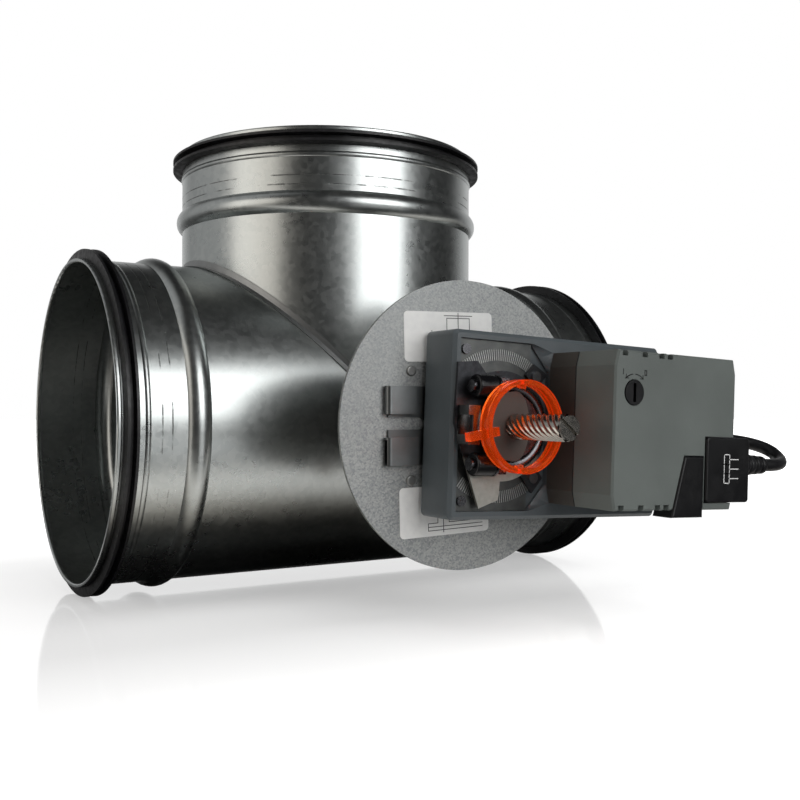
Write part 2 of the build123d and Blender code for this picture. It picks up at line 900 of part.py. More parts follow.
def gear_outline(teeth, module, first_tooth):
    """Spur gear outline, with the middle of its first tooth at an angle in degrees."""
    pitch = module * teeth / 2
    base = pitch * cos(radians(20))
    root = pitch - 1.2 * module
    tip = pitch + 0.9 * module
    half_pitch_tooth = pi / (2 * teeth) - gear_play * module / pitch
    start = max(base, root)
    flank = []
    for step in range(4):
        radius = start + (tip - start) * step / 3
        half = half_pitch_tooth + involute(radians(20)) - involute(acos(base / radius))
        flank.append((radius, half))
    flank.insert(0, (root, flank[0][1]))
    points = []
    for tooth in range(teeth):
        middle = radians(first_tooth) + 2 * pi * tooth / teeth
        for radius, half in flank:
            points.append((radius * cos(middle - half), radius * sin(middle - half)))
        for radius, half in reversed(flank):
            points.append((radius * cos(middle + half), radius * sin(middle + half)))
    Polygon(*points, align=None)


# Output hub: journal, gear, neck, barrel and the half seat that holds the shaft
with BuildPart() as output_hub:
    disc(leaning(housing_back + 1), hub_neck_radius, hub_shoulder - housing_back - 1)
    with BuildSketch(leaning(hub_gear_back)):
        gear_outline(hub_teeth, hub_module, 0)
    extrude(amount=hub_gear_width)
    disc(leaning(hub_shoulder), hub_radius, hub_top - hub_shoulder)
    seat_top = u_bolt_depth + u_bolt_radius - fit_gap
    seat_radius = u_bolt_half - u_bolt_radius - fit_gap
    disc(leaning(hub_top), seat_radius, seat_top - hub_top)
    block(leaning(hub_top), jaw_left - 9, 0, -cap_radius, cap_radius, 12, Mode.SUBTRACT)
    disc(leaning(housing_back), shaft_bore, 40, Mode.SUBTRACT)
finish(output_hub, "output_hub")

with BuildPart() as hub_bearing:
    outer = hub_neck_radius + hub_journal_wall
    disc(leaning(housing_back), outer, housing_wall)
    disc(leaning(housing_back + housing_wall), outer + 1.5, 1.2)
    disc(leaning(housing_back), hub_neck_radius + running_clearance, 5, Mode.SUBTRACT)
finish(hub_bearing, "hub_bearing")

# Disc with two pointed wings that turns with the hub, over the end stops
with BuildPart() as clamp_plate:
    with BuildSketch(leaning(wing_back)):
        Circle(wing_disc_radius)
        Polygon(
            (wing_left, wing_heel),
            (wing_upper_left, wing_upper),
            (wing_upper_right, wing_upper_tip),
            (wing_waist_left, wing_waist),
            (wing_lower_right, wing_lower),
            (wing_edge_right, wing_edge),
            (wing_tip_left, wing_tip),
            align=None,
        )
    extrude(amount=wing_sheet)
    disc(leaning(wing_back), hub_radius, wing_sheet, Mode.SUBTRACT)
finish(clamp_plate, "clamp_plate")

# Clamp: bolt bent round the shaft's seat, jaw, nuts with washers, spring clip and cap
with BuildPart() as clamp_u_bolt:
    with BuildLine(leaning(u_bolt_depth)):
        upper_leg = Line((u_bolt_left, u_bolt_half), (0, u_bolt_half))
        bend = CenterArc((0, 0), u_bolt_half, 90, -180)
        Line((0, -u_bolt_half), (u_bolt_left, -u_bolt_half))
    with BuildSketch(Plane(upper_leg @ 0, z_dir=upper_leg % 0)):
        Circle(u_bolt_radius)
    sweep()
finish(clamp_u_bolt, "clamp_u_bolt")


def across(u, h, depth):
    """Plane square to u, for round pieces that lie along u."""
    turn = radians(lean)
    middle = leaning(depth).from_local_coords(Vector(u, h, 0))
    return Plane(middle, x_dir=(0, -1, 0), z_dir=(cos(turn), 0, -sin(turn)))


with BuildPart() as clamp_jaw:
    jaw_back = hub_top + rest_gap
    jaw_right = -shaft_radius - fit_gap
    block(leaning(jaw_back), jaw_left, jaw_right + 2, -jaw_half, jaw_half, seat_top - jaw_back)
    disc(leaning(jaw_back), shaft_radius + fit_gap, 12, Mode.SUBTRACT)
    for side in (-1, 1):
        disc(
            across(jaw_left - 1, side * u_bolt_half, u_bolt_depth),
            u_bolt_radius + running_clearance,
            10,
            Mode.SUBTRACT,
        )
finish(clamp_jaw, "clamp_jaw")

with BuildPart() as clamp_nuts:
    for side in (-1, 1):
        start = across(nut_left, side * u_bolt_half, u_bolt_depth)
        disc(start, nut_radius, nut_right - nut_left)
        disc(start, u_bolt_radius + running_clearance, nut_right - nut_left, Mode.SUBTRACT)
    fillet(clamp_nuts.edges().filter_by(GeomType.CIRCLE).group_by(SortBy.RADIUS)[-1], 0.9)
finish(clamp_nuts, "clamp_nuts")

with BuildPart() as clamp_washers:
    for side in (-1, 1):
        start = across(nut_right, side * u_bolt_half, u_bolt_depth)
        disc(start, washer_radius, washer_sheet)
        disc(start, u_bolt_radius + running_clearance, washer_sheet, Mode.SUBTRACT)
finish(clamp_washers, "clamp_washers")

with BuildPart() as clamp_spring_clip:
    clip_back = wing_back + wing_sheet
    clip_front = u_bolt_depth + 3
    block(leaning(clip_back), clip_left, clip_right, -clip_half, clip_half, clip_front - clip_back)
    block(
        leaning(clip_back),
        clip_left + clip_sheet,
        clip_right + 1,
        -clip_half - 1,
        clip_half + 1,
        clip_front - clip_back - clip_sheet,
        Mode.SUBTRACT,
    )
    block(leaning(clip_back), clip_left, clip_right, -clip_half, clip_half, clip_sheet)
    block(
        leaning(clip_back + clip_sheet),
        clip_left - 1,
        clip_left + 3 * clip_sheet,
        -clip_half / 2,
        clip_half / 2,
        clip_front,
        Mode.SUBTRACT,
    )
finish(clamp_spring_clip, "clamp_spring_clip")

with BuildPart() as clamp_cap:
    with BuildSketch(leaning(u_bolt_depth + u_bolt_radius + cap_lift)):
        Circle(cap_radius)
        Rectangle(
            cap_radius,
            2 * cap_radius,
            align=(Align.MIN, Align.CENTER),
            mode=Mode.SUBTRACT,
        )
        Ellipse(cap_right, cap_radius)
    extrude(amount=cap_sheet)
    disc(leaning(u_bolt_depth), shaft_bore, 10, Mode.SUBTRACT)
    for side in (-1, 1):
        disc(
            across(jaw_left + rest_gap, side * u_bolt_half, u_bolt_depth),
            washer_radius + rest_gap,
            -20,
            Mode.SUBTRACT,
        )
finish(clamp_cap, "clamp_cap")

# Position indicator: clear ring on three feet, with a pointer
with BuildPart() as indicator_ring:
    ring_height = ring_front - ring_back
    disc(leaning(ring_back), ring_radius, ring_height)
    with BuildSketch(leaning(ring_back + ring_rim)):
        Circle(ring_radius)
        Circle(ring_radius - ring_groove, mode=Mode.SUBTRACT)
    extrude(amount=ring_height - 2 * ring_rim, mode=Mode.SUBTRACT)
    foot_end = u_bolt_depth + u_bolt_radius + rest_gap
    for turn in (-ring_foot_angle, ring_foot_angle):
        with BuildSketch(leaning(foot_end)):
            with Locations(Location((0, 0, 0), (0, 0, turn))):
                with Locations((ring_radius - ring_foot / 2, 0)):
                    Rectangle(ring_foot, ring_foot)
        extrude(amount=ring_back - foot_end + ring_rim / 2)
    disc(leaning(ring_back), ring_radius - ring_wall, ring_height, Mode.SUBTRACT)
    with BuildSketch(leaning(ring_back)):
        with Locations(Location((0, 0, 0), (0, 0, 180 + blade_rest))):
            with Locations(((pointer_inner + pointer_outer) / 2, 0)):
                Rectangle(pointer_outer - pointer_inner, pointer_width)
    extrude(amount=pointer_depth)
finish(indicator_ring, "indicator_ring")

# Gear train and motor inside the housing
with BuildPart() as gear_axle:
    axle_back = housing_back + housing_wall
    disc(leaning(axle_back), axle_radius, chamber_roof - axle_back, at=((gear_distance, 0),))
finish(gear_axle, "gear_axle")


def gear_plane(u, depth):
    """Plane whose origin is on a gear's axis."""
    turn = radians(lean)
    middle = leaning(depth).from_local_coords(Vector(u, 0, 0))
    return Plane(middle, x_dir=(cos(turn), 0, -sin(turn)), z_dir=(0, -1, 0))


with BuildPart() as reduction_gear:
    with BuildSketch(gear_plane(gear_distance, hub_gear_back)):
        gear_outline(pinion_teeth, hub_module, 180 / pinion_teeth)
    extrude(amount=wheel_back - hub_gear_back)
    with BuildSketch(gear_plane(gear_distance, wheel_back)):
        gear_outline(wheel_teeth, wheel_module, 0)
    extrude(amount=wheel_width)
    bore = gear_plane(gear_distance, hub_gear_back)
    disc(bore, axle_radius + running_clearance, 20, Mode.SUBTRACT)
finish(reduction_gear, "reduction_gear")

with BuildPart() as motor_pinion:
    with BuildSketch(gear_plane(motor_u, wheel_back - 0.3)):
        gear_outline(motor_teeth, wheel_module, 180 / motor_teeth)
    extrude(amount=wheel_width + 0.6)
    disc(gear_plane(motor_u, wheel_back), motor_shaft_radius, motor_back + 4 - wheel_back)
finish(motor_pinion, "motor_pinion")

with BuildPart() as motor:
    disc(gear_plane(motor_u, motor_back), motor_radius, board_back - motor_back)
    disc(
        gear_plane(motor_u, motor_back),
        motor_shaft_radius + running_clearance,
        4.5,
        Mode.SUBTRACT,
    )
finish(motor, "motor")

with BuildPart() as circuit_board:
    board_edge = cover_wall + rest_gap
    with BuildSketch(leaning(board_back)):
        tower_outline(board_edge)
    extrude(amount=board_sheet)
    board_front = leaning(board_back + board_sheet)
    capacitors = tuple(zip(capacitor_u, capacitor_h))
    disc(board_front, capacitor_radius, capacitor_height, at=capacitors)
    with BuildSketch(board_front):
        with Locations((relay_u, relay_h)):
            Rectangle(relay_width, relay_length)
    extrude(amount=relay_height)
finish(circuit_board, "circuit_board")

# Direction switch, release button and its spring
with BuildPart() as direction_switch:
    at_switch = ((switch_u, switch_h),)
    collar_front = cover_face - cover_wall - rest_gap
    disc(leaning(collar_front - 3), switch_collar, 3, at=at_switch)
    head_height = cover_face + switch_proud - collar_front
    disc(leaning(collar_front), switch_radius, head_height, at=at_switch)
    with BuildSketch(leaning(cover_face + switch_proud)):
        with Locations((switch_u, switch_h)):
            Rectangle(switch_slot, 1.5 * switch_radius)
    extrude(amount=-1.6, mode=Mode.SUBTRACT)
finish(direction_switch, "direction_switch")

spring_u = (button_low_left + button_right) / 2 + 2
spring_h = button_low + 9
with BuildPart() as release_button:
    with BuildSketch(leaning(button_back)):
        button_outline(0)
    extrude(amount=button_height)
    fillet(release_button.faces().sort_by(towards_viewer)[-1].edges(), 1.0)
finish(release_button, "release_button")

with BuildPart() as button_spring:
    spring_back = board_back + board_sheet
    spring_height = button_back - spring_back
    pitch = (spring_height - 2 * spring_wire) / spring_turns
    coil_start = leaning(spring_back + spring_wire).from_local_coords(Vector(spring_u, spring_h, 0))
    with BuildLine():
        coil = Helix(
            pitch,
            pitch * spring_turns,
            spring_radius,
            center=tuple(coil_start),
            direction=(0, -1, 0),
        )
    with BuildSketch(Plane(coil @ 0, z_dir=coil % 0)):
        Circle(spring_wire)
    sweep(is_frenet=True)
finish(button_spring, "button_spring")

# Connection box on the corner of the cover, with its terminals and the tapered boot
with BuildPart() as terminal_cover:
    with BuildSketch(leaning(box_back)):
        with Locations(((box_left + box_right) / 2, (box_top + box_low) / 2)):
            RectangleRounded(box_right - box_left, box_top - box_low, box_corner)
    extrude(amount=box_front - box_back)
    fillet(terminal_cover.faces().sort_by(towards_viewer)[-1].edges(), 0.8)
    block(
        leaning(box_back + box_wall),
        box_left + box_wall,
        box_right - box_wall,
        box_low + box_wall,
        box_top - box_wall,
        box_front - box_back - 2 * box_wall,
        Mode.SUBTRACT,
    )
    disc(
        across(box_right - box_wall - 1, lead_h, lead_depth),
        lead_radius,
        box_wall + 2,
        Mode.SUBTRACT,
    )
finish(terminal_cover, "terminal_cover")

with BuildPart() as terminal_block:
    block(
        leaning(box_back + box_wall),
        box_left + 3,
        box_right - 7,
        box_low + 3,
        box_top - 3,
        11,
    )
    screw_places = tuple((box_left + 8, box_top - 7 - 6 * count) for count in range(3))
    disc(leaning(box_back + box_wall + 11), 1.8, -1.5, Mode.SUBTRACT, screw_places)
finish(terminal_block, "terminal_block")

with BuildPart() as lead_boot:
    with BuildSketch(across(box_right, lead_h, lead_depth)):
        Circle(boot_base_radius)
    with BuildSketch(across(box_right + boot_length, lead_h, lead_depth)):
        Circle(boot_tip_radius)
    loft()
finish(lead_boot, "lead_boot")

# Lead: from the boot in a tight turn back behind the housing and onto the neck, where its
# spare length is wound. The points are right of the branch axis, in front and up.
lead_exit = leaning(lead_depth).from_local_coords(Vector(box_right + boot_length, lead_h, 0))
lead_turn = leaning(lead_depth).from_local_coords(Vector(box_right + boot_length + 12, lead_h, 0))
coil_inner = neck_radius + tie_sheet + 2 * rest_gap
coil_middle = coil_inner + lead_radius
coil_length = coil_turns * coil_pitch
stub_y = lead_radius + stub_inset - coil_front
stub_z = coil_middle - stub_inset
lead_points = [
    (lead_exit.X, lead_exit.Y, lead_exit.Z),
    (lead_turn.X, lead_turn.Y, lead_turn.Z),
    (tee_x + 152, -186.0, -17.5),
    (tee_x + 155, -177.5, -13),
    (tee_x + 150, -169.0, -9.5),
    (tee_x + 138, -160.0, -7.5),
    (tee_x + 122, -149.0, -5),
    (tee_x + 103, -137.0, 1),
    (tee_x + 83, -130.0, 10),
    (tee_x + 63, -126.5, 19),
    (tee_x + stub_length + 14, stub_y, stub_z),
    (tee_x + stub_length, stub_y, stub_z),
]


def turn_radii(points):
    """Largest tangent arc that two neighbouring runs allow, for each corner."""
    radii = []
    for before, corner, after in zip(points, points[1:], points[2:]):
        first = Vector(*corner) - Vector(*before)
        second = Vector(*after) - Vector(*corner)
        turn = radians(first.get_angle(second))
        radii.append(0.45 * min(first.length, second.length) / tan(turn / 2))
    return radii


lead_radii = turn_radii(lead_points)
print("lead radii", [round(radius, 1) for radius in lead_radii])
with BuildPart() as lead_cable:
    with BuildLine():
        lead_path = FilletPolyline(*lead_points, radius=lead_radii)
    with BuildSketch(Plane(lead_path @ 0, z_dir=lead_path % 0)):
        Circle(lead_radius)
    sweep()
print("lead length", round(lead_path.length, 1), "volume", round(lead_cable.part.volume, 1))
print("section times length", round(pi * lead_radius**2 * lead_path.length, 1))
finish(lead_cable, "lead_cable")

with BuildPart() as lead_coil:
    disc(facing(coil_front), coil_middle + lead_radius, -coil_length)
    disc(facing(coil_front), coil_inner, -coil_length, Mode.SUBTRACT)
    disc(Plane((tee_x, stub_y, stub_z), z_dir=(1, 0, 0)), lead_radius, stub_length)
finish(lead_coil, "lead_coil")

# Tail of the lead, straight down off the coil's last turn, with three bare cores
tail_top = Plane((tee_x - coil_middle, coil_length - coil_front - lead_radius, 0))
tail_end = tail_top.offset(-tail_length)
with BuildPart() as lead_tail:
    disc(tail_top.offset(-coil_middle * 0.6), lead_radius, coil_middle * 0.6 - tail_length)
    disc(facing(coil_front + 1), coil_middle + lead_radius, -coil_length - 2, Mode.SUBTRACT)
finish(lead_tail, "lead_tail")

with BuildPart() as lead_cores:
    with BuildSketch(tail_end):
        with PolarLocations(0.55 * lead_radius, 3):
            Circle(core_radius)
    extrude(amount=-core_length)
finish(lead_cores, "lead_cores")

# Cable tie round the turns of the coil
with BuildPart() as coil_tie:
    inner = neck_radius + rest_gap
    outer = coil_middle + lead_radius + rest_gap + tie_sheet
    tie_front = coil_front + rest_gap + tie_sheet
    tie_length = coil_length + 2 * (rest_gap + tie_sheet)
    with BuildSketch(facing(tie_front)):
        with Locations(Location((0, 0, 0), (0, 0, tie_turn))):
            with Locations(((inner + outer) / 2, 0)):
                Rectangle(outer - inner, tie_width)
    extrude(amount=-tie_length)
    with BuildSketch(facing(tie_front - tie_sheet)):
        Circle(coil_middle + lead_radius + rest_gap)
        Circle(coil_inner - rest_gap, mode=Mode.SUBTRACT)
    extrude(amount=2 * tie_sheet - tie_length, mode=Mode.SUBTRACT)
    disc(facing(tie_front), neck_radius + rest_gap, -tie_length, Mode.SUBTRACT)
finish(coil_tie, "coil_tie")
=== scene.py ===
from math import cos, pi, radians, sin

import bpy
from mathutils import Matrix, Vector


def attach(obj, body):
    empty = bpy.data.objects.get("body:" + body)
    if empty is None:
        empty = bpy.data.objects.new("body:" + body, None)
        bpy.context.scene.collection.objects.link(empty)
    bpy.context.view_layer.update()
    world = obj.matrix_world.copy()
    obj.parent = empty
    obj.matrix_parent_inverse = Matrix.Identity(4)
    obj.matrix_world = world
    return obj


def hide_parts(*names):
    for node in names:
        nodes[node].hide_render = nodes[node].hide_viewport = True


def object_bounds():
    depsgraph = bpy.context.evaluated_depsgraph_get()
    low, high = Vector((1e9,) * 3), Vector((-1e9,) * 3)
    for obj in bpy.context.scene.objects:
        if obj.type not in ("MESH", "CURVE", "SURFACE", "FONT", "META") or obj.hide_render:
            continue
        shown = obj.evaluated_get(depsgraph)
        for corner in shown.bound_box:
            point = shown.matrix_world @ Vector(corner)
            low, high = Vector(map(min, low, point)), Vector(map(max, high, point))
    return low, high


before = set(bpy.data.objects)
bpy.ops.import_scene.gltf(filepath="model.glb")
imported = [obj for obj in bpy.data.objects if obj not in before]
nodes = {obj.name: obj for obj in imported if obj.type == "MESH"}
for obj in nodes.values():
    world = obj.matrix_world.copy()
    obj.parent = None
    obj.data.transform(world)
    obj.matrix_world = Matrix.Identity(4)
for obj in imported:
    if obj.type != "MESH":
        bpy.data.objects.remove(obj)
cad_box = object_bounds()
scene = bpy.context.scene
scene.unit_settings.system = "METRIC"
scene.view_settings.view_transform = "Standard"

# Places are given in millimetres from the tee's middle; depth is towards the actuator.
MM = 0.001
TEE = 137.0  # the tee's middle along the run, from the frame's origin
LEAN = radians(2.3)  # the actuator's turn on the shaft

# Stretches of a pattern's values
MID_NOISE = (0.3, 0.7)
WIDE_NOISE = (0.25, 0.75)
ZINC_TONES = (0.2, 0.8)


def plain(x, z, depth):
    """A point in the duct's directions."""
    return Vector((TEE + x, -depth, z)) * MM


def leaning(u, h, depth):
    """A point along and across the leaning actuator."""
    return plain(u * cos(LEAN) + h * sin(LEAN), h * cos(LEAN) - u * sin(LEAN), depth)


# Node materials
class Nodes:
    """A short way to write the nodes of one tree."""

    def __init__(self, tree):
        self.tree = tree

    def add(self, kind, **settings):
        node = self.tree.nodes.new(kind)
        for key, value in settings.items():
            setattr(node, key, value)
        return node

    def link(self, source, target):
        self.tree.links.new(source, target)

    def axes(self, kind):
        """The X, Y and Z of a texture coordinate."""
        place = self.add("ShaderNodeTexCoord").outputs[kind]
        split = self.add("ShaderNodeSeparateXYZ")
        self.link(place, split.inputs["Vector"])
        return split.outputs

    def ray(self, kind):
        return self.add("ShaderNodeLightPath").outputs[kind]

    def math(self, kind, *values):
        node = self.add("ShaderNodeMath", operation=kind)
        for value, socket in zip(values, node.inputs):
            if isinstance(value, (int, float)):
                socket.default_value = value
            else:
                self.link(value, socket)
        return node.outputs["Value"]

    def span(self, value, low, high, to_low=0.0, to_high=1.0):
        """A value's stretch from low to high, drawn to another stretch and held at its ends."""
        node = self.add("ShaderNodeMapRange")
        for key, number in (
            ("From Min", low),
            ("From Max", high),
            ("To Min", to_low),
            ("To Max", to_high),
        ):
            node.inputs[key].default_value = number
        self.link(value, node.inputs["Value"])
        return node.outputs["Result"]

    def fall(self, value, low, high):
        """1 below low, 0 above high and a slope between them."""
        return self.span(value, low, high, 1.0, 0.0)


materials = {}


class Surface(Nodes):
    """A material, with patterns in the frame's own metres."""

    def __init__(self, name):
        material = bpy.data.materials.new(name)
        material.use_nodes = True
        super().__init__(material.node_tree)
        self.material = material
        self.shader = self.tree.nodes["Principled BSDF"]
        self.place = self.add("ShaderNodeTexCoord").outputs["Object"]
        materials[name] = material

    def set(self, **values):
        for key, value in values.items():
            self.shader.inputs[key.replace("_", " ")].default_value = value

    def axis(self, letter):
        return self.axes("Object")[letter]

    def from_tee(self):
        """The way along the run from the tee's middle."""
        return self.math("ADD", self.axis("X"), -TEE * MM)

    def from_shaft(self):
        """The distance from the shaft's axis."""
        across = self.from_tee()
        height = self.axis("Z")
        squares = self.math("MULTIPLY", height, height)
        return self.math("SQRT", self.math("MULTIPLY_ADD", across, across, squares))

    def stretched(self, scale):
        mapping = self.add("ShaderNodeMapping")
        mapping.inputs["Scale"].default_value = scale
        self.link(self.place, mapping.inputs["Vector"])
        return mapping.outputs["Vector"]

    def noise(self, scale, detail, rough=0.5, vector=None):
        node = self.add("ShaderNodeTexNoise")
        node.inputs["Scale"].default_value = scale
        node.inputs["Detail"].default_value = detail
        node.inputs["Roughness"].default_value = rough
        self.link(vector or self.place, node.inputs["Vector"])
        return node.outputs["Fac"]

    def patches(self, scale, detail, low=0.0, high=1.0):
        """Soft-edged patches between two values."""
        return self.span(self.noise(scale, detail), *MID_NOISE, low, high)

    def cells(self, scale):
        """The zinc's crystals, each with a value of its own."""
        node = self.add("ShaderNodeTexVoronoi")
        node.inputs["Scale"].default_value = scale
        self.link(self.place, node.inputs["Vector"])
        split = self.add("ShaderNodeSeparateColor")
        self.link(node.outputs["Color"], split.inputs["Color"])
        return split.outputs["Red"]

    def blend(self, first, second, share):
        """Two values in one, where the second has the given share."""
        rest = self.math("MULTIPLY", first, 1 - share)
        return self.math("MULTIPLY_ADD", second, share, rest)

    def mix(self, share, first, second):
        node = self.add("ShaderNodeMix", data_type="RGBA")
        factor, colour_a, colour_b = (node.inputs[socket] for socket in (0, 6, 7))
        self.link(share, factor)
        for value, socket in ((first, colour_a), (second, colour_b)):
            if isinstance(value, tuple):
                socket.default_value = (*value, 1.0)
            else:
                self.link(value, socket)
        return node.outputs[2]

    def bump(self, height, distance, strength=1.0, after=None):
        node = self.add("ShaderNodeBump")
        node.inputs["Strength"].default_value = strength
        node.inputs["Distance"].default_value = distance
        self.link(height, node.inputs["Height"])
        if after is not None:
            self.link(after, node.inputs["Normal"])
        return node.outputs["Normal"]

    def colour(self, value):
        self.link(value, self.shader.inputs["Base Color"])

    def roughness(self, value):
        self.link(value, self.shader.inputs["Roughness"])

    def normal(self, value):
        self.link(value, self.shader.inputs["Normal"])


def toned(colour, share):
    """A colour darker or lighter by a share."""
    return tuple(min(1.0, part * share) for part in colour)


def plastic(name, colour, rough):
    """Moulded plastic: fine grain, a slow drift of tone and dull patches."""
    m = Surface(name)
    m.colour(m.mix(m.patches(scale=38, detail=4), toned(colour, 0.88), toned(colour, 1.12)))
    m.roughness(m.patches(scale=160, detail=4, low=rough - 0.06, high=rough + 0.06))
    m.normal(m.bump(m.noise(scale=2600, detail=2), distance=0.00003))


def metal(name, colour, rough):
    """Plain machined or plated metal with fine scratches and a little haze."""
    m = Surface(name)
    m.colour(m.mix(m.patches(scale=220, detail=4), toned(colour, 0.94), toned(colour, 1.06)))
    haze = m.noise(scale=900, detail=4)
    m.roughness(m.span(haze, *WIDE_NOISE, rough - 0.04, rough + 0.05))
    scratches = m.noise(scale=900, detail=3, vector=m.stretched((1, 1, 6)))
    m.normal(m.bump(scratches, distance=0.000006))
    m.set(Metallic=1.0)


def rubber(name, colour, rough):
    """Black rubber with a little dust and moulding lines."""
    m = Surface(name)
    dust = m.span(m.noise(scale=90, detail=5), low=0.45, high=0.8)
    m.colour(m.mix(dust, colour, toned(colour, 2.6)))
    m.roughness(m.patches(scale=400, detail=4, low=rough - 0.1, high=rough + 0.12))
    m.normal(m.bump(m.noise(scale=1800, detail=2), distance=0.00003))


def tool_marks(m, tube_axis):
    """Broken rings that the rolls leave beside each mouth, as a share of 0 to 1."""
    mark_places = (116.5, 121.0)
    mark_half = 0.12
    mark_edge = 0.35
    if tube_axis == "x":
        along = m.math("ABSOLUTE", m.from_tee())
    else:
        along = m.axis("Z")
    rings = None
    for place in mark_places:
        gap = m.math("ABSOLUTE", m.math("ADD", along, -place * MM))
        ring = m.fall(gap, mark_half * MM, mark_edge * MM)
        rings = ring if rings is None else m.math("MAXIMUM", rings, ring)
    worn = m.span(m.noise(scale=60, detail=5, rough=0.7), low=0.46, high=0.56)
    return m.math("MULTIPLY", rings, worn)


def lock_seam(m):
    """Folded joint that runs up the branch, behind its left side."""
    seam_turn = radians(158)
    seam_half = 0.006
    seam_edge = 0.02
    turn = m.math("ARCTAN2", m.axis("Y"), m.from_tee())
    gap = m.math("ABSOLUTE", m.math("ADD", turn, -seam_turn))
    return m.fall(gap, seam_half, seam_edge)


def galvanised(name, tube_axis):
    """Bright zinc-coated sheet of a rolled tube: spangle, rolling lines, waviness, marks."""
    dull_zinc = (0.48, 0.51, 0.505)
    bright_zinc = (0.61, 0.635, 0.625)
    groove = (0.1, 0.1, 0.1)
    mark_darkness = 0.75
    mark_dullness = 0.15
    along_the_tube = {"x": (0.25, 4, 4), "z": (4, 4, 0.25)}
    m = Surface(name)
    spangle = m.cells(scale=420)
    cloud = m.noise(scale=16, detail=5, rough=0.62)
    tone = m.blend(spangle, cloud, share=0.65)
    zinc = m.mix(m.span(tone, *ZINC_TONES), dull_zinc, bright_zinc)
    marks = tool_marks(m, tube_axis)
    if tube_axis == "z":
        marks = m.math("MAXIMUM", marks, lock_seam(m))
    m.colour(m.mix(m.math("MULTIPLY", marks, mark_darkness), zinc, groove))
    cloud_dullness = m.span(cloud, *MID_NOISE, 0.27, 0.33)
    spangle_dullness = m.span(spangle, 0.0, 1.0, -0.02, 0.03)
    dullness = m.math("ADD", cloud_dullness, spangle_dullness)
    m.roughness(m.math("MULTIPLY_ADD", marks, mark_dullness, dullness))
    rolled = m.noise(scale=240, detail=1, vector=m.stretched(along_the_tube[tube_axis]))
    wavy = m.bump(m.noise(scale=6, detail=1, rough=0.3), distance=0.0006, strength=0.4)
    lines = m.bump(rolled, distance=0.000004, strength=0.4, after=wavy)
    pressed = m.math("SUBTRACT", 1.0, marks)
    dents = m.bump(pressed, distance=0.0001, strength=0.6, after=lines)
    fine = m.noise(scale=1500, detail=3)
    m.normal(m.bump(fine, distance=0.0000015, strength=0.5, after=dents))
    m.set(Metallic=1.0)


def spangled_plate(name):
    """Matte zinc sheet with a fine spangle, duller than the tubes."""
    dark_zinc = (0.27, 0.285, 0.29)
    pale_zinc = (0.5, 0.51, 0.5)
    m = Surface(name)
    spangle = m.cells(scale=1500)
    cloud = m.noise(scale=24, detail=5, rough=0.65)
    tone = m.blend(spangle, cloud, share=0.4)
    m.colour(m.mix(m.span(tone, *ZINC_TONES), dark_zinc, pale_zinc))
    m.roughness(m.span(spangle, 0.0, 1.0, 0.42, 0.62))
    m.normal(m.bump(m.noise(scale=1600, detail=3), distance=0.00004))
    m.set(Metallic=0.65)


def paper_film(name):
    """White label film with faint print haze."""
    white = (0.86, 0.86, 0.84)
    hazy = (0.78, 0.78, 0.77)
    m = Surface(name)
    haze = m.span(m.noise(scale=300, detail=4), low=0.4, high=0.8)
    m.colour(m.mix(haze, white, hazy))
    m.roughness(m.patches(scale=60, detail=3, low=0.35, high=0.5))
    m.normal(m.bump(m.noise(scale=700, detail=2), distance=0.00001))


def ribbed_scale(name):
    """Cast scale plate: dark ground, with a painted highlight that makes the raised ticks
    paler.
    """
    tick_face = -159.45 * MM
    tick_foot = -159.25 * MM
    dark_ground = (0.1, 0.105, 0.105)
    pale_ground = (0.15, 0.155, 0.15)
    tick_highlight = (0.42, 0.43, 0.42)
    m = Surface(name)
    raised = m.fall(m.axis("Y"), tick_face, tick_foot)
    ground = m.mix(m.patches(scale=200, detail=4), dark_ground, pale_ground)
    # Painted highlight: the raised tick tops are paler than the ground.
    m.colour(m.mix(raised, ground, tick_highlight))
    m.roughness(m.patches(scale=500, detail=3, low=0.3, high=0.4))
    m.normal(m.bump(m.noise(scale=1400, detail=3), distance=0.00003))
    m.set(Metallic=0.85)


def wing_metal(name):
    """Clamp plate: blackened round the clamp, bare and matte on its long lower wing."""
    bare_below = -12.5 * MM
    black_above = -10.5 * MM
    ragged = 4.0 * MM
    lathe_lines = 9000.0  # radians of the ring pattern in a metre
    m = Surface(name)
    haze = m.math("MULTIPLY", m.noise(scale=140, detail=3), ragged)
    lower = m.fall(m.math("ADD", m.axis("Z"), haze), bare_below, black_above)
    drift = m.patches(scale=500, detail=3)
    bare = m.mix(drift, (0.42, 0.41, 0.37), (0.5, 0.49, 0.45))
    black = m.mix(drift, (0.035, 0.036, 0.04), (0.06, 0.062, 0.068))
    m.colour(m.mix(lower, black, bare))
    m.roughness(m.patches(scale=700, detail=3, low=0.34, high=0.46))
    rings = m.math("SINE", m.math("MULTIPLY", m.from_shaft(), lathe_lines))
    m.normal(m.bump(rings, distance=0.000012, strength=0.6))
    m.set(Metallic=0.85)


def clear_orange(name):
    """Tinted clear plastic with a faint painted glow: a weak emission all over stands for the
    glow along its edges.
    """
    deep = (0.95, 0.13, 0.012)
    light = (1.0, 0.18, 0.02)
    m = Surface(name)
    m.colour(m.mix(m.patches(scale=120, detail=3), deep, light))
    m.roughness(m.patches(scale=500, detail=3, low=0.1, high=0.18))
    m.normal(m.bump(m.noise(scale=1200, detail=2), distance=0.00001))
    # Painted glow: the emission lights the plastic, though it is no lamp.
    m.set(
        Transmission_Weight=0.88,
        IOR=1.4,
        Emission_Color=(1.0, 0.11, 0.006, 1.0),
        Emission_Strength=0.09,
    )


